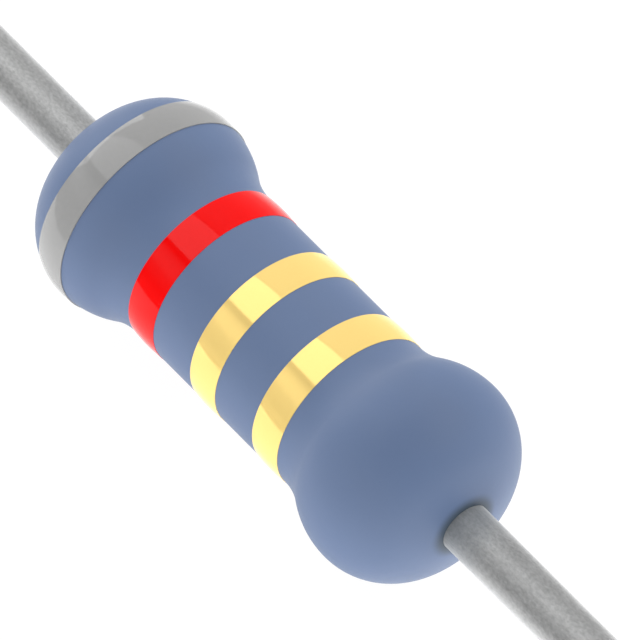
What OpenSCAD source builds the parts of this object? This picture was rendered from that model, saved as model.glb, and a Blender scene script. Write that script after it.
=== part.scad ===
// Axial resistor with a dog-bone body and two straight wire leads.
// It lies along X. The origin is the middle of the body, on its axis.
// The first colour band is the one nearest the -X end.
// Sizes build up from the rod outwards: rod, film, caps, then the lacquer over them.

/* [Rod and film] */
// Diameter of the ceramic rod
rod_d = 1.62; // [1.4:0.02:1.8]
// Length of the ceramic rod
rod_l = 4.9; // [4.6:0.05:5.4]
// Chamfer on the edges of the rod's ends
rod_chamfer = 0.08; // [0.04:0.01:0.12]
// Thickness of the resistive film, drawn thicker than the real coating
film_t = 0.02; // [0.015:0.005:0.04]
// Turns of the helical cut that trims the film
cut_turns = 5; // [3:1:7]
// Distance along the rod from one turn of the cut to the next
cut_pitch = 0.56; // [0.4:0.02:0.6]
// Width of the helical cut
cut_w = 0.12; // [0.08:0.01:0.16]

/* [Caps] */
// Wall thickness of the pressed steel caps, sides and end
cap_wall = 0.2; // [0.15:0.01:0.25]
// Depth of a cap over the rod
cap_depth = 0.75; // [0.6:0.05:0.9]
// Outer radius of the bend between a cap's side and its end
cap_bend_r = 0.26; // [0.24:0.01:0.3]

/* [Leads] */
// Diameter of the lead wire
lead_d = 0.55; // [0.45:0.01:0.65]
// Length of each lead outside the body
lead_l = 28; // [5:1:38]
// How far the welded head of a lead spreads past the wire, all round
head_spread = 0.1; // [0.05:0.01:0.15]
// Height of the welded head of a lead
head_h = 0.22; // [0.15:0.01:0.25]
// Chamfer on the cut end of a lead
lead_chamfer = 0.03; // [0.02:0.01:0.06]

/* [Lacquer coat] */
// Thickness of the coat over the film, on the barrel
barrel_coat = 0.12; // [0.1:0.01:0.2]
// Thickness of the coat over the caps, where the ends are widest
bulge_coat = 0.17; // [0.14:0.01:0.25]
// Thickness of the coat over the ends of the caps, on the axis
end_coat = 0.38; // [0.34:0.01:0.45]
// Radius of the rounded shoulder, outside the widest place
shoulder_r = 0.82; // [0.76:0.01:0.86]
// How much larger the radius of the end dome is than the widest radius
dome_extra = 0.56; // [0.46:0.02:0.7]
// Radius of the rounding between the widest place and the hollow
crown_r = 1.0; // [0.85:0.05:1.1]
// Radius of the hollow curve that runs into the barrel
fillet_r = 0.8; // [0.65:0.05:0.9]

/* [Colour bands] */
// Thickness of the painted bands
band_t = 0.015; // [0.01:0.005:0.02]
// Width of the three bands on the barrel
band_w = 0.4; // [0.3:0.02:0.5]
// Distance between the middles of the bands on the barrel
band_pitch = 1.0; // [0.8:0.05:1.05]
// Width of the band on the bulge
end_band_w = 0.39; // [0.28:0.01:0.44]
// Distance of the bulge's band from the widest place, towards the end
end_band_shift = 0.06; // [0:0.01:0.15]

/* [Hidden] */
$fn = 96;

rod_r = rod_d / 2;
rod_end = rod_l / 2;
film_r = rod_r + film_t;
film_l = rod_l - 2 * rod_chamfer;
cap_r = film_r + cap_wall;
cap_rim = rod_end - cap_depth;
cap_end = rod_end + cap_wall;
lead_r = lead_d / 2;
head_r = lead_r + head_spread;

// The coat's outline: a barrel, a hollow fillet, a crown, a shoulder and an end dome,
// all arcs of circles that run into each other without a corner.
barrel_r = film_r + barrel_coat;
bulge_r = cap_r + bulge_coat;
body_end = cap_end + end_coat;
lead_end = body_end + lead_l;
dome_r = bulge_r + dome_extra;
dome_x = body_end - dome_r;
bulge_x = dome_x + sqrt(pow(dome_r - shoulder_r, 2) - pow(bulge_r - shoulder_r, 2));
blend_r = crown_r + fillet_r;
blend_rise = bulge_r - barrel_r;
neck_x = bulge_x - sqrt(pow(blend_r, 2) - pow(blend_r - blend_rise, 2));

// Flats round the film, and the slack that keeps its flats off the round rod
film_sides = 36;
film_inner_r = rod_r / cos(180 / film_sides);
// Room round the coat's section for the squares that cut it into stretches
section_w = 2 * bulge_r;

// Lays a solid that is drawn along Z along X instead.
module along_x() {
    rotate([0, 90, 0]) children();
}

// Makes the solid of revolution of an outline whose Y is the way along the axis.
module turned() {
    along_x() rotate_extrude() children();
}

// Repeats the outline of one end at both ends.
module both_ends() {
    for (flip = [0, 1]) mirror([0, flip]) children();
}

// A rectangle from the axis out to radius r, between two places along the axis.
module stretch(r, from, to) {
    translate([0, from]) square([r, to - from]);
}

// A disc without what lies past the axis or beyond a place along it.
module disc(centre_r, centre_x, r, to) {
    intersection() {
        translate([centre_r, centre_x]) circle(r);
        stretch(section_w, 0, to);
    }
}

// The pointed sector of a disc on the axis, from the axis out to an angle.
module sector(centre_x, r, spread) {
    translate([0, centre_x]) intersection() {
        circle(r);
        polygon([[0, 0], 2 * r * [sin(spread), cos(spread)], [0, 2 * r]]);
    }
}

// Half of the coat's outer section, with its surface moved outwards by grow. The discs
// overlap inside, and their arcs meet where they touch: the hollow on the crown, the
// crown on the shoulder at the widest place, and the shoulder on the end dome.
module coat_outline(grow = 0) {
    hollow_r = fillet_r - grow;
    crown_from = neck_x + (bulge_x - neck_x) * hollow_r / blend_r;
    dome_spread = asin((bulge_r - shoulder_r) / (dome_r - shoulder_r));
    stretch(barrel_r + grow, -bulge_x, bulge_x);
    both_ends() {
        difference() {
            stretch(barrel_r + fillet_r, neck_x, crown_from);
            translate([barrel_r + fillet_r, neck_x]) circle(hollow_r);
        }
        disc(bulge_r - crown_r, bulge_x, crown_r + grow, bulge_x);
        disc(bulge_r - shoulder_r, bulge_x, shoulder_r + grow, body_end);
        sector(dome_x, dome_r + grow, dome_spread);
    }
}

// A rectangle at the axis with its outer far corner rounded.
module rounded_stretch(r, from, to, corner) {
    stretch(r - corner, from, to);
    stretch(r, from, to - corner);
    translate([r - corner, to - corner]) intersection() {
        circle(corner);
        square(corner);
    }
}

module cap_outline() {
    rounded_stretch(cap_r, cap_rim, cap_end, cap_bend_r);
}

module lead_outline() {
    polygon([
        [0, cap_end],
        [head_r, cap_end],
        [lead_r, cap_end + head_h],
        [lead_r, lead_end - lead_chamfer],
        [lead_r - lead_chamfer, lead_end],
        [0, lead_end]
    ]);
}

module ceramic_rod() {
    color([0.93, 0.91, 0.86]) turned() polygon([
        [0, -rod_end],
        [rod_r - rod_chamfer, -rod_end],
        [rod_r, rod_chamfer - rod_end],
        [rod_r, rod_end - rod_chamfer],
        [rod_r - rod_chamfer, rod_end],
        [0, rod_end]
    ]);
}

// The film is one sleeve with a helical cut through it, so that what is left of it
// between the caps is a long ribbon. Its skin is made of upright strips, one for each
// of its flats. Line j is the edge before strip j. Along a line lie the sleeve's low
// end, the two edges of every pass of the cut, and its high end. On line 0 the cut both
// starts and stops, so that line has one pass more than the others.
cut_start = -cut_turns * cut_pitch / 2;

function cut_edge_z(j, pass, side) =
    cut_start + cut_pitch * (pass + j / film_sides) + (side - 0.5) * cut_w;

function passes_on(j) = j == 0 ? cut_turns + 1 : cut_turns;

function line_heights(j) = [
    -film_l / 2,
    for (pass = [0 : passes_on(j) - 1]) for (side = [0, 1]) cut_edge_z(j, pass, side),
    film_l / 2
];

function film_points(r) = [
    for (j = [0 : film_sides - 1])
        let (turn = 360 * j / film_sides)
            for (z = line_heights(j)) [r * cos(turn), r * sin(turn), z]
];

// Numbers of the points: the low end, an edge of the cut and the high end of a line.
// Line film_sides is line 0 again, where each pass has become the next one.
function low_end(j) =
    j % film_sides == 0 ? 0 : 2 * (cut_turns + 2) + (j - 1) * 2 * (cut_turns + 1);
function cut_edge(j, pass, side) =
    j == film_sides ? cut_edge(0, pass + 1, side) : low_end(j) + 1 + 2 * pass + side;
function high_end(j) = low_end(j) + 2 * passes_on(j % film_sides) + 1;

// The triangles of one patch of a strip, between two passes of the cut. They fan out
// from a corner opposite the edge on which the cut stops or starts.
function patch(j, k) =
    let (
        left = [
            k == 0 ? low_end(j) : cut_edge(j, k - 1, 1),
            if (j == 0 && k == cut_turns) for (side = [0, 1]) cut_edge(0, cut_turns, side),
            k == cut_turns ? high_end(j) : cut_edge(j, k, 0)
        ],
        right = [
            k == cut_turns ? high_end(j + 1) : cut_edge(j + 1, k, 0),
            if (j == film_sides - 1 && k == 0) for (side = [1, 0]) cut_edge(0, 0, side),
            k == 0 ? low_end(j + 1) : cut_edge(j + 1, k - 1, 1)
        ]
    )
    fan(len(right) > 2 ? concat(left, right) : concat(right, left));

function fan(corners) = [
    for (i = [1 : len(corners) - 2]) [corners[0], corners[i], corners[i + 1]]
];

// Two triangles across the film's thickness, from point a to point b of its skin.
function across(a, b, inner) = [
    [a, b, b + inner],
    [a, b + inner, a + inner]
];

module resistive_film() {
    outer = film_points(film_r);
    inner = len(outer);
    patches = [
        for (j = [0 : film_sides - 1]) for (k = [0 : cut_turns]) each patch(j, k)
    ];
    rims = [
        for (j = [0 : film_sides - 1]) each [
            each across(high_end(j + 1), high_end(j), inner),
            each across(low_end(j), low_end(j + 1), inner)
        ]
    ];
    cut_walls = [
        for (j = [0 : film_sides - 1]) for (pass = [0 : cut_turns - 1]) each [
            each across(cut_edge(j + 1, pass, 0), cut_edge(j, pass, 0), inner),
            each across(cut_edge(j, pass, 1), cut_edge(j + 1, pass, 1), inner)
        ]
    ];
    cut_ends = [
        each across(cut_edge(0, 0, 0), cut_edge(0, 0, 1), inner),
        each across(cut_edge(0, cut_turns, 1), cut_edge(0, cut_turns, 0), inner)
    ];
    color([0.35, 0.31, 0.3]) along_x() polyhedron(
        points = concat(outer, film_points(film_inner_r)),
        faces = concat(
            patches,
            [for (face = patches) [face[2], face[1], face[0]] + [inner, inner, inner]],
            rims,
            cut_walls,
            cut_ends
        )
    );
}

// A pressed cup, with its bend rounded inside and out
module cap() {
    color([0.78, 0.78, 0.76]) turned() difference() {
        cap_outline();
        rounded_stretch(film_r, cap_rim, rod_end, cap_bend_r - cap_wall);
    }
}

module right_cap() {
    cap();
}

module left_cap() {
    mirror([1, 0, 0]) cap();
}

module lead() {
    color([0.68, 0.69, 0.69]) turned() lead_outline();
}

module right_lead() {
    lead();
}

module left_lead() {
    mirror([1, 0, 0]) lead();
}

module lacquer_coat() {
    color([0.42, 0.48, 0.6]) turned() difference() {
        coat_outline();
        stretch(film_r, -rod_end, rod_end);
        both_ends() {
            cap_outline();
            lead_outline();
        }
    }
}

// A painted ring that lies on the coat and follows its curve
module band(middle, w) {
    turned() difference() {
        intersection() {
            coat_outline(band_t);
            stretch(section_w, middle - w / 2, middle + w / 2);
        }
        coat_outline();
    }
}

module grey_band() {
    color([0.66, 0.66, 0.66]) band(-bulge_x - end_band_shift, end_band_w);
}

module red_band() {
    color([0.95, 0.13, 0.12]) band(-band_pitch, band_w);
}

module middle_gold_band() {
    color([0.95, 0.85, 0.5]) band(0, band_w);
}

module right_gold_band() {
    color([0.95, 0.85, 0.5]) band(band_pitch, band_w);
}

ceramic_rod();
resistive_film();
left_cap();
right_cap();
left_lead();
right_lead();
lacquer_coat();
grey_band();
red_band();
middle_gold_band();
right_gold_band();
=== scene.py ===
"""Looks of a small axial resistor: lacquer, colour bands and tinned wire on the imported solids.

Lengths are in millimetres, and become metres where a mesh, a lamp or the camera is made.
Directions round the resistor are angles in the YZ plane, from +Y up towards +Z.
"""
import math

import bpy
from mathutils import Matrix, Vector


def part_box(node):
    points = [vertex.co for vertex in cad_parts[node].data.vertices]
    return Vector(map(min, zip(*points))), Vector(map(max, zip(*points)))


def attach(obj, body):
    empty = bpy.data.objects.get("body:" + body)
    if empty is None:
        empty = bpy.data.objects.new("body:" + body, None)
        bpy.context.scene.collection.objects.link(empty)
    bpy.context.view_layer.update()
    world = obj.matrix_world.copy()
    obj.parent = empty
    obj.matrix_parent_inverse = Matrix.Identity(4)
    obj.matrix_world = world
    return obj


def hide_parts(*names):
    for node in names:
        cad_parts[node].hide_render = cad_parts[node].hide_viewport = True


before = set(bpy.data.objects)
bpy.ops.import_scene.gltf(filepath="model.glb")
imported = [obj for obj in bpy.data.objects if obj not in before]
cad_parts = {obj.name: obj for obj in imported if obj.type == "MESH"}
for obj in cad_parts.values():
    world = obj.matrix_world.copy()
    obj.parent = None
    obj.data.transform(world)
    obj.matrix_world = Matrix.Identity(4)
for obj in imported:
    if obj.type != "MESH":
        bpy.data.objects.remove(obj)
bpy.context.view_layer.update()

MM = 0.001


def ends(node):
    """Where a node starts and stops along X."""
    low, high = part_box(node)
    return low.x / MM, high.x / MM


# Radii of the turned pieces, as in the part's source
FILM_R = 0.83
CAP_R = 1.03
CAP_BEND_R = 0.26
LEAD_R = 0.275
HEAD_R = 0.375
HEAD_H = 0.22
LEAD_CHAMFER = 0.03
BARREL_R = 0.95
BULGE_R = 1.2
SHOULDER_R = 0.82
DOME_R = 1.76
CROWN_R = 1.0
FILLET_R = 0.8
BAND_T = 0.015

# Thickness of the paint at a band's edges: on the barrel, and on the bulge, where the coat's
# own round already turns the edges away
BARREL_EDGE_T = 0.004
BULGE_EDGE_T = 0.011
# Longest step of a band's outline, so that its crown comes out round
BAND_STEP = 0.05

# How far from a wire the coat carries painted shade, a dark contact ring round the wire's exit
PAINTED_SHADE_W = 0.15
# Painted shade on the right wire next to the body, bluish as a painted reflection of the lacquer,
# measured from the point where the axis leaves the coat: where it starts to fade, where it ends, how
# far the place of both wavers, and how much metal it hides
PAINTED_SHADE_FROM = 0.33
PAINTED_SHADE_TO = 0.8
PAINTED_SHADE_WAVER = 0.2
PAINTED_SHADE_COVER = 0.67

# Index of refraction of the lacquer and of the bands' paint
PAINT_IOR = 1.33

# Places along the axis. The coat ends where its dome meets the wire
COAT_END = ends("lacquer_coat")[1]
CAP_RIM, CAP_END = ends("right_cap")
LEAD_END = ends("right_lead")[1]
DOME_X = COAT_END - math.sqrt(DOME_R**2 - LEAD_R**2)
BLEND_R = CROWN_R + FILLET_R
RISE = BULGE_R - BARREL_R
BULGE_X = DOME_X + math.sqrt((DOME_R - SHOULDER_R) ** 2 - (BULGE_R - SHOULDER_R) ** 2)
NECK_X = BULGE_X - math.sqrt(BLEND_R**2 - (BLEND_R - RISE) ** 2)

# Fineness of the turned meshes
TURN_STEPS = 240
ARC_STEP = 2.5
SHARP_EDGE = math.radians(20)


def arc(centre_x, centre_r, radius, start, stop):
    """Points of an arc beside the axis. Angles are degrees from straight outwards, towards +X."""
    steps = max(2, math.ceil(abs(stop - start) / ARC_STEP))
    angles = [math.radians(start + (stop - start) * k / steps) for k in range(steps + 1)]
    return [(centre_x + radius * math.sin(a), centre_r + radius * math.cos(a)) for a in angles]


def joined(*stretches):
    """One outline of several stretches, with the points where they meet kept once."""
    points = []
    for stretch in stretches:
        for point in stretch:
            if not points or math.dist(point, points[-1]) > 1e-6:
                points.append(point)
    return points


def mirrored(points):
    """The same stretch at the other end, run through backwards."""
    return [(-x, r) for x, r in reversed(points)]


def coat_outline(grow=0.0):
    """The dog-bone outline from the -X end to the +X end, with its surface moved out by grow."""
    bend = math.degrees(math.acos(1 - RISE / BLEND_R))
    turn = 90 - math.degrees(math.asin((BULGE_R - SHOULDER_R) / (DOME_R - SHOULDER_R)))
    at_lead = 90 - math.degrees(math.asin(LEAD_R / (DOME_R + grow)))
    end = joined(
        arc(NECK_X, BARREL_R + FILLET_R, FILLET_R - grow, 180, 180 - bend),
        arc(BULGE_X, BULGE_R - CROWN_R, CROWN_R + grow, -bend, 0),
        arc(BULGE_X, BULGE_R - SHOULDER_R, SHOULDER_R + grow, 0, turn),
        arc(DOME_X, 0, DOME_R + grow, turn, at_lead),
    )
    return joined(mirrored(end), end)


def coat_hollow():
    """The space that the lacquer leaves for the rod, the caps and the leads."""
    end = joined(
        [(CAP_RIM, FILM_R), (CAP_RIM, CAP_R)],
        arc(CAP_END - CAP_BEND_R, CAP_R - CAP_BEND_R, CAP_BEND_R, 0, 90),
        [(CAP_END, HEAD_R), (CAP_END + HEAD_H, LEAD_R)],
    )
    return joined(mirrored(end), end)


def radius_at(outline, place):
    """Radius of an outline that runs along X, at one place."""
    for (x0, r0), (x1, r1) in zip(outline, outline[1:]):
        if x0 <= place <= x1:
            return r0 + (r1 - r0) * (place - x0) / (x1 - x0)
    raise ValueError(f"the outline doesn't reach {place}")


def between(outline, start, stop):
    """The stretch of an outline from one place to another."""
    inside = [point for point in outline if start < point[0] < stop]
    return joined([(start, radius_at(outline, start))], inside, [(stop, radius_at(outline, stop))])


def divided(points, longest):
    """The same stretch, with its long straight runs in even steps."""
    fine = points[:1]
    for (x0, r0), (x1, r1) in zip(points, points[1:]):
        steps = math.ceil(math.dist((x0, r0), (x1, r1)) / longest)
        shares = [k / steps for k in range(1, steps + 1)]
        fine += [(x0 + (x1 - x0) * share, r0 + (r1 - r0) * share) for share in shares]
    return fine


def turned(name, loop, closed=True):
    """A mesh made by turning a loop of points round X. A loop that isn't closed ends on the axis."""
    verts = []
    rings = []
    for x, r in loop:
        if r < 1e-9:
            rings.append([len(verts)] * TURN_STEPS)
            verts.append((x * MM, 0, 0))
            continue
        rings.append(range(len(verts), len(verts) + TURN_STEPS))
        for k in range(TURN_STEPS):
            angle = 2 * math.pi * k / TURN_STEPS
            verts.append((x * MM, r * MM * math.cos(angle), r * MM * math.sin(angle)))
    pairs = list(zip(rings, rings[1:]))
    if closed:
        pairs.append((rings[-1], rings[0]))
    faces = []
    for first, second in pairs:
        for k in range(TURN_STEPS):
            n = (k + 1) % TURN_STEPS
            corners = (first[k], first[n], second[n], second[k])
            faces.append(tuple(dict.fromkeys(corners)))
    mesh = bpy.data.meshes.new(name)
    mesh.from_pydata(verts, [], faces)
    mesh.shade_smooth()
    mesh.set_sharp_from_angle(angle=SHARP_EDGE)
    piece = bpy.data.objects.new(name, mesh)
    bpy.context.scene.collection.objects.link(piece)
    return piece


def stands_for(piece, node, finish):
    """The piece takes a node's place, rides on the body and gets its finish."""
    piece.data.materials.append(finish)
    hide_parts(node)
    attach(piece, "root")


class Value:
    """A number that varies over a surface. Sums and products of it add Math nodes."""

    def __init__(self, tree, socket):
        self.tree = tree
        self.socket = socket

    def _math(self, operation, first, second):
        return self.tree.node("Math", {"operation": operation}, {0: first, 1: second})

    def __add__(self, other):
        return self._math("ADD", self, other)

    def __radd__(self, other):
        return self._math("ADD", other, self)

    def __sub__(self, other):
        return self._math("SUBTRACT", self, other)

    def __rsub__(self, other):
        return self._math("SUBTRACT", other, self)

    def __mul__(self, other):
        return self._math("MULTIPLY", self, other)

    def __rmul__(self, other):
        return self._math("MULTIPLY", other, self)


class Nodes:
    """A node tree, and the one method that adds to it."""

    def __init__(self, owner):
        owner.use_nodes = True
        self.tree = owner.node_tree
        self.tree.nodes.clear()

    def node(self, kind, settings=(), inputs=(), output=0):
        """Adds a node, makes its settings, fills its sockets and returns one of its outputs."""
        made = self.tree.nodes.new("ShaderNode" + kind)
        for name, setting in dict(settings).items():
            if name == "stops":
                self._set_stops(made.color_ramp, setting)
            else:
                setattr(made, name, setting)
        for name, given in dict(inputs).items():
            if isinstance(given, Value):
                self.tree.links.new(given.socket, made.inputs[name])
            else:
                made.inputs[name].default_value = given
        if made.outputs:
            return Value(self, made.outputs[output])

    def _set_stops(self, ramp, stops):
        """Stops are pairs of a place from 0 to 1 and a grey."""
        while len(ramp.elements) < len(stops):
            ramp.elements.new(1.0)
        for element, (place, grey) in zip(ramp.elements, stops):
            element.position = place
            element.color = colour(grey, grey, grey)

    def speckle(self, grain, detail=3.0, stretch=1.0, roughness=0.5):
        """Noise about 0.5. Its grains are that many millimetres, and stretch times longer along X."""
        place = self.node("TexCoord", output="Object")
        shrink = (1 / (MM * grain * stretch), 1 / (MM * grain), 1 / (MM * grain))
        scaled = self.node("VectorMath", {"operation": "MULTIPLY"}, {0: place, 1: shrink})
        inputs = {"Vector": scaled, "Scale": 1.0, "Detail": detail, "Roughness": roughness}
        return self.node("TexNoise", {}, inputs)

    def from_axis(self):
        """Distance from the X axis."""
        place = self.node("TexCoord", output="Object")
        across = self.node("VectorMath", {"operation": "MULTIPLY"}, {0: place, 1: (0, 1, 1)})
        return self.node("VectorMath", {"operation": "LENGTH"}, {0: across}, "Value")

    def place_along(self, axis):
        """Place along one axis, with a sign, from the middle of the body."""
        place = self.node("TexCoord", output="Object")
        return self.node("SeparateXYZ", {}, {0: place}, axis)

    def from_point(self, x):
        """Distance from a point of the X axis."""
        place = self.node("TexCoord", output="Object")
        inputs = {0: place, 1: (x * MM, 0, 0)}
        return self.node("VectorMath", {"operation": "DISTANCE"}, inputs, "Value")

    def ease(self, length, start, stop):
        """Runs softly from 0 to 1 as a length goes from start to stop, both in millimetres."""
        inputs = {"Value": length, 1: start * MM, 2: stop * MM}
        return self.node("MapRange", {"interpolation_type": "SMOOTHSTEP"}, inputs)

    def blend(self, factor, first, second):
        """A colour that runs from the first to the second as the factor goes from 0 to 1."""
        inputs = {"Factor": factor, "A": first, "B": second}
        return self.node("Mix", {"data_type": "RGBA"}, inputs, 2)

    def bump(self, height, depth):
        """The surface normal over a relief that is depth millimetres deep."""
        return self.node("Bump", {}, {"Height": height, "Distance": depth * MM, "Strength": 1.0})

    def surface(self, **sockets):
        """Ends the tree in a Principled surface, with sockets given by name."""
        inputs = {name.replace("_", " "): given for name, given in sockets.items()}
        shader = self.node("BsdfPrincipled", {}, inputs)
        self.node("OutputMaterial", {}, {"Surface": shader})


def material(name):
    made = bpy.data.materials.new(name)
    return made, Nodes(made)


def colour(red, green, blue):
    return (red, green, blue, 1)


def lacquer():
    """Slate-blue lacquer, satin, with a faint orange peel, and painted shade, darker, where it meets
    a wire.
    """
    made, nodes = material("lacquer")
    cloud = nodes.speckle(0.9, detail=2.0)
    pigment = nodes.speckle(0.03, detail=4.0)
    tone = cloud * 0.7 + pigment * 0.3
    blue = nodes.blend(tone, colour(0.098, 0.14, 0.242), colour(0.108, 0.155, 0.265))
    # Painted shade: a dark contact ring on the coat round each wire, not a colour of the lacquer
    clear = nodes.ease(nodes.from_axis(), LEAD_R, LEAD_R + PAINTED_SHADE_W)
    peel = nodes.speckle(0.14, detail=2.0)
    nodes.surface(
        Base_Color=nodes.blend(clear, colour(0.055, 0.075, 0.1), blue),
        Roughness=0.4 + 0.08 * pigment,
        IOR=PAINT_IOR,
        Normal=nodes.bump(peel, 0.0012),
    )
    return made


def grey_paint():
    """Glossy neutral grey of the first band."""
    made, nodes = material("grey_paint")
    pigment = nodes.speckle(0.05, detail=4.0)
    nodes.surface(
        Base_Color=nodes.blend(pigment, colour(0.254, 0.254, 0.252), colour(0.27, 0.27, 0.268)),
        Roughness=0.05 + 0.04 * pigment,
        IOR=PAINT_IOR,
        Coat_Weight=1.0,
        Coat_IOR=PAINT_IOR,
        Normal=nodes.bump(nodes.speckle(0.2, detail=1.0), 0.0002),
    )
    return made


def red_paint():
    """Glossy signal red of the second band."""
    made, nodes = material("red_paint")
    pigment = nodes.speckle(0.05, detail=4.0)
    nodes.surface(
        Base_Color=nodes.blend(pigment, colour(0.7, 0.0015, 0.0015), colour(0.74, 0.0025, 0.0025)),
        Roughness=0.05 + 0.04 * pigment,
        IOR=PAINT_IOR,
        Normal=nodes.bump(nodes.speckle(0.2, detail=1.0), 0.0002),
    )
    return made


def gold_paint():
    """Bright gold paint: fine metal flakes in a clear yellow."""
    made, nodes = material("gold_paint")
    flake = nodes.speckle(0.02, detail=3.0)
    nodes.surface(
        Base_Color=nodes.blend(flake, colour(1.0, 0.7, 0.23), colour(1.0, 0.745, 0.25)),
        Metallic=0.37,
        Roughness=0.06 + 0.06 * flake,
        IOR=PAINT_IOR,
        Normal=nodes.bump(nodes.speckle(0.2, detail=1.0), 0.0002),
    )
    return made


def tinned_wire():
    """Hot-tinned wire, dull and finely grained, with painted shade and a painted bluish reflection of
    the lacquer where the right one comes out.
    """
    made, nodes = material("tinned_wire")
    grain = nodes.speckle(0.03, detail=4.0, stretch=1.6, roughness=0.6)
    drawn = nodes.speckle(0.015, detail=2.0, stretch=14.0)
    cloud = nodes.speckle(0.3, detail=2.0)
    tone = grain * 0.8 + drawn * 0.1 + cloud * 0.1
    bare = nodes.blend(tone, colour(0.115, 0.12, 0.12), colour(0.81, 0.81, 0.805))
    # Painted shade and painted reflection of the blue body, darker and bluish, next to the right
    # wire's exit only
    way = nodes.from_point(COAT_END) + PAINTED_SHADE_WAVER * MM * cloud
    painted_wire_shade = 1 - nodes.ease(way, PAINTED_SHADE_FROM, PAINTED_SHADE_TO)
    nodes.surface(
        Base_Color=nodes.blend(painted_wire_shade * PAINTED_SHADE_COVER, bare, colour(0.1, 0.12, 0.14)),
        Metallic=0.9 - 0.4 * painted_wire_shade,
        Roughness=0.43 + 0.2 * grain,
        Sheen_Weight=0.7,
        Sheen_Roughness=0.5,
        Normal=nodes.bump(grain * 0.7 + drawn * 0.3, 0.005),
    )
    return made


def ceramic():
    """Fired ceramic, matte and slightly porous."""
    made, nodes = material("ceramic")
    pores = nodes.speckle(0.04, detail=5.0, roughness=0.7)
    nodes.surface(
        Base_Color=nodes.blend(pores, colour(0.8, 0.77, 0.7), colour(0.88, 0.86, 0.8)),
        Roughness=0.75 + 0.15 * pores,
        Normal=nodes.bump(pores, 0.003),
    )
    return made


def resistive_film():
    """Dark satin film with the lower sheen of its ground."""
    made, nodes = material("resistive_film")
    grain = nodes.speckle(0.03, detail=4.0)
    nodes.surface(
        Base_Color=nodes.blend(grain, colour(0.09, 0.075, 0.07), colour(0.13, 0.11, 0.1)),
        Metallic=0.3,
        Roughness=0.35 + 0.2 * grain,
        Normal=nodes.bump(grain, 0.001),
    )
    return made


def cap_steel():
    """Pressed steel with a tin flash and marks of the punch round the cup."""
    made, nodes = material("cap_steel")
    tin = nodes.speckle(0.08, detail=4.0)
    nodes.surface(
        Base_Color=nodes.blend(tin, colour(0.55, 0.55, 0.53), colour(0.68, 0.68, 0.65)),
        Metallic=1.0,
        Roughness=0.28 + 0.2 * tin,
        Normal=nodes.bump(tin, 0.002),
    )
    return made


def make_coat():
    outline = coat_outline()
    loop = joined(outline, reversed(coat_hollow()))
    stands_for(turned("lacquer_body", loop), "lacquer_coat", lacquer())


def make_band(node, finish, edge_t):
    """A painted ring on the coat, crowned as wet paint dries, so that it is thin at its edges."""
    start, stop = ends(node)
    middle = (start + stop) / 2
    thinning = (BAND_T - edge_t) / (middle - start) ** 2
    flat = divided(between(coat_outline(BAND_T), start, stop), BAND_STEP)
    face = [(x, r - thinning * (x - middle) ** 2) for x, r in flat]
    under = between(coat_outline(), start, stop)
    loop = joined(face, reversed(under))
    stands_for(turned(node.replace("_band", "_stripe"), loop), node, finish)


def make_lead(node, side, finish):
    """A round wire with its welded head in the body and a trimmed end outside."""
    points = [
        (CAP_END, 0),
        (CAP_END, HEAD_R),
        (CAP_END + HEAD_H, LEAD_R),
        (LEAD_END - LEAD_CHAMFER, LEAD_R),
        (LEAD_END, LEAD_R - LEAD_CHAMFER),
        (LEAD_END, 0),
    ]
    loop = [(side * x, r) for x, r in points]
    piece = turned(node.replace("lead", "wire"), loop, closed=False)
    stands_for(piece, node, finish)


def finish_node(node, finish):
    """Gives a carried-over solid its finish in every slot."""
    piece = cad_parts[node]
    piece.data.materials.clear()
    piece.data.materials.append(finish)


# Camera: the photograph's angle, and where its 640 x 640 frame has the middle of the body
IMAGE_SIZE = 640
BODY_PIXEL = (277.26, 339.45)
PIXELS_PER_MM = 99.8
CAMERA_AZIMUTH = 51.58
CAMERA_ELEVATION = 52.18
CAMERA_DISTANCE = 180
SENSOR = 36


def make_camera():
    azimuth = math.radians(CAMERA_AZIMUTH)
    elevation = math.radians(CAMERA_ELEVATION)
    level = Vector((math.sin(azimuth), -math.cos(azimuth), 0))
    back = level * math.cos(elevation) + Vector((0, 0, math.sin(elevation)))
    right = Vector((math.cos(azimuth), math.sin(azimuth), 0))
    up = back.cross(right)
    aside = (IMAGE_SIZE / 2 - BODY_PIXEL[0]) / PIXELS_PER_MM
    above = (BODY_PIXEL[1] - IMAGE_SIZE / 2) / PIXELS_PER_MM
    data = bpy.data.cameras.new("camera")
    data.sensor_width = SENSOR
    data.lens = SENSOR * CAMERA_DISTANCE * PIXELS_PER_MM / IMAGE_SIZE
    data.clip_start = 10 * MM
    camera = bpy.data.objects.new("camera", data)
    turn = Matrix((right, up, back)).transposed().to_4x4()
    place = (back * CAMERA_DISTANCE + right * aside + up * above) * MM
    camera.matrix_world = Matrix.Translation(place) @ turn
    bpy.context.scene.collection.objects.link(camera)
    bpy.context.scene.camera = camera


# Studio. A long softbox hangs over the resistor, from one direction round X to another
SOFTBOX_LIGHT = 1.12
SOFTBOX_HEIGHT = 120
SOFTBOX_FROM = 78
SOFTBOX_TO = 122
SOFTBOX_X = -216
SOFTBOX_LENGTH = 400
# A smaller one stands past the grey band's end
END_PLACE = (-146, 14, 37)
END_SIZE = (140, 70)
END_LIGHT = 1.5
# Two fills, each with its direction round X and its light, that the gloss doesn't show
FILLS = (("fill_left", 170, 1.9), ("fill_right", 45, 2.6))
FILL_DISTANCE = 150
FILL_SIZE = (400, 120)
# Brightness of the walls at directions round X
WALLS = (
    (0, 0.44), (20, 0.42), (36, 0.37), (50, 0.42), (66, 0.47), (72, 0.5), (78, 0.35), (120, 0.35),
    (124, 0.08), (128.5, 0.1), (134, 0.5), (141, 0.67), (147, 0.66), (152, 0.55), (158, 0.28),
    (166, 0.17), (174, 0.06), (180, 0.0),
)
# The floor touches the widest band
FLOOR_DROP = BULGE_R + BAND_T
FLOOR_SIZE = 600
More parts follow.
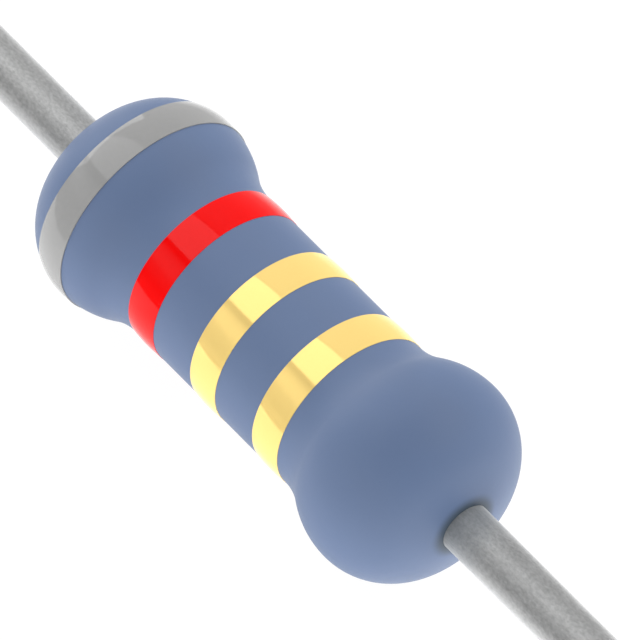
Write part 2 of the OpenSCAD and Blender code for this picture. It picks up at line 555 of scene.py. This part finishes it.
# Share of its glow in what the camera and the gloss see, and how white its glow and paper are
FLOOR_GLOW = 0.92
FLOOR_WHITE = 1.05
PAPER_WHITE = 0.9
# Painted pool of light on the floor, as the gloss shows it, at places along Y, all within the reach
FLOOR_LIGHT = (
    (-7.6, 0), (-7, 0.88), (-1.3, 0.88), (-0.8, 1.15), (2.7, 1.08), (5, 0.68), (8.5, 0.35),
)
FLOOR_REACH = 10
# Along X the painted light is brighter past the body, beyond both ends and once more beyond the right
# one, which leaves a painted shadow under the body
FLOOR_PAST_BODY = (2.0, 3.2)
FLOOR_BOTH_ENDS = 0.18
FLOOR_RIGHT_END = 0.22
# Light that the floor throws up on the body
FLOOR_BOUNCE = 1.35
# What an area lamp of one watt and one square metre shows
WATT_LIGHT = 1 / math.pi


def make_panel(name, place, aim, across, size, light, in_gloss):
    """A rectangular lamp that the camera doesn't see, with one side along the direction across."""
    data = bpy.data.lights.new(name, "AREA")
    data.shape = "RECTANGLE"
    data.size = size[0] * MM
    data.size_y = size[1] * MM
    data.energy = light * data.size * data.size_y / WATT_LIGHT
    lamp = bpy.data.objects.new(name, data)
    back = (Vector(place) - Vector(aim)).normalized()
    up = back.cross(Vector(across)).normalized()
    turn = Matrix((up.cross(back), up, back)).transposed().to_4x4()
    lamp.matrix_world = Matrix.Translation(Vector(place) * MM) @ turn
    lamp.visible_camera = False
    lamp.visible_glossy = in_gloss
    bpy.context.scene.collection.objects.link(lamp)


def make_lamps():
    near = SOFTBOX_HEIGHT / math.tan(math.radians(SOFTBOX_FROM))
    far = SOFTBOX_HEIGHT / math.tan(math.radians(SOFTBOX_TO))
    middle = (SOFTBOX_X, (near + far) / 2, SOFTBOX_HEIGHT)
    below = (SOFTBOX_X, middle[1], 0)
    size = (SOFTBOX_LENGTH, near - far)
    make_panel("softbox", middle, below, (1, 0, 0), size, SOFTBOX_LIGHT, True)
    make_panel("end_softbox", END_PLACE, (0, 0, 0), (0, 1, 0), END_SIZE, END_LIGHT, True)
    for name, degrees, light in FILLS:
        angle = math.radians(degrees)
        place = (0, FILL_DISTANCE * math.cos(angle), FILL_DISTANCE * math.sin(angle))
        make_panel(name, place, (0, 0, 0), (1, 0, 0), FILL_SIZE, light, False)


def make_world():
    """Walls whose brightness goes by the direction round X, and white behind the object."""
    world = bpy.data.worlds.new("studio")
    bpy.context.scene.world = world
    nodes = Nodes(world)
    direction = nodes.node("TexCoord", output="Generated")
    across = nodes.node("SeparateXYZ", {}, {0: direction}, "Y")
    upward = nodes.node("SeparateXYZ", {}, {0: direction}, "Z")
    angle = nodes.node("Math", {"operation": "ARCTAN2"}, {0: upward, 1: across})
    stops = [(degrees / 180, light) for degrees, light in WALLS]
    walls = nodes.node("ValToRGB", {"stops": stops}, {0: angle * (1 / math.pi)})
    seen = nodes.node("LightPath", output="Is Camera Ray")
    shown = nodes.blend(seen, walls, colour(1, 1, 1))
    background = nodes.node("Background", {}, {"Color": shown, "Strength": 1.0})
    nodes.node("OutputWorld", {}, {"Surface": background})


def painted_floor_light(nodes):
    """Painted pool of light on the floor where the gloss shows it, with a painted shadow under the
    body.
    """
    across = nodes.place_along("Y")
    span = 2 * FLOOR_REACH
    stops = [(0.5 + y / span, light) for y, light in FLOOR_LIGHT]
    painted_pool = nodes.node("ValToRGB", {"stops": stops}, {0: across * (1 / (span * MM)) + 0.5})
    along = nodes.place_along("X")
    from_middle = nodes.node("Math", {"operation": "ABSOLUTE"}, {0: along})
    both_ends = nodes.ease(from_middle, *FLOOR_PAST_BODY)
    right_end = nodes.ease(along, *FLOOR_PAST_BODY)
    return painted_pool * (1 + FLOOR_BOTH_ENDS * both_ends) * (1 + FLOOR_RIGHT_END * right_end)


def white_paper():
    """Paper that the camera sees as white, with a faint shadow left, and that the gloss sees with a
    painted pool of light.
    """
    made, nodes = material("floor")
    camera = nodes.node("LightPath", output="Is Camera Ray")
    glossy = nodes.node("LightPath", output="Is Glossy Ray")
    clear = nodes.node("LightPath", output="Is Transmission Ray")
    diffuse = nodes.node("LightPath", output="Is Diffuse Ray")
    light = camera * FLOOR_WHITE + (1 - camera) * painted_floor_light(nodes)
    glow = nodes.node("Emission", {}, {"Color": light, "Strength": 1.0})
    paper = nodes.node("BsdfDiffuse", {}, {"Color": colour(PAPER_WHITE, PAPER_WHITE, PAPER_WHITE)})
    seen = nodes.node("Math", {"operation": "MINIMUM"}, {0: camera + glossy + clear, 1: 1.0})
    mixed = nodes.node("MixShader", {}, {0: seen * FLOOR_GLOW, 1: paper, 2: glow})
    bounce = nodes.node("Emission", {}, {"Color": diffuse * FLOOR_BOUNCE, "Strength": 1.0})
    both = nodes.node("AddShader", {}, {0: mixed, 1: bounce})
    nodes.node("OutputMaterial", {}, {"Surface": both})
    return made


def make_floor():
    """A plain white floor under the resistor, which isn't part of it."""
    half = FLOOR_SIZE / 2 * MM
    mesh = bpy.data.meshes.new("floor")
    signs = ((-1, -1), (1, -1), (1, 1), (-1, 1))
    corners = [(x * half, y * half, -FLOOR_DROP * MM) for x, y in signs]
    mesh.from_pydata(corners, [], [(0, 1, 2, 3)])
    mesh.materials.append(white_paper())
    floor = bpy.data.objects.new("floor", mesh)
    bpy.context.scene.collection.objects.link(floor)


bpy.context.scene.view_settings.view_transform = "Standard"
make_camera()
make_coat()
make_band("grey_band", grey_paint(), BULGE_EDGE_T)
make_band("red_band", red_paint(), BARREL_EDGE_T)
gold = gold_paint()
make_band("middle_gold_band", gold, BARREL_EDGE_T)
make_band("right_gold_band", gold, BARREL_EDGE_T)
tin = tinned_wire()
make_lead("left_lead", -1, tin)
make_lead("right_lead", 1, tin)
finish_node("ceramic_rod", ceramic())
finish_node("resistive_film", resistive_film())
steel = cap_steel()
finish_node("left_cap", steel)
finish_node("right_cap", steel)
make_lamps()
make_world()
make_floor()
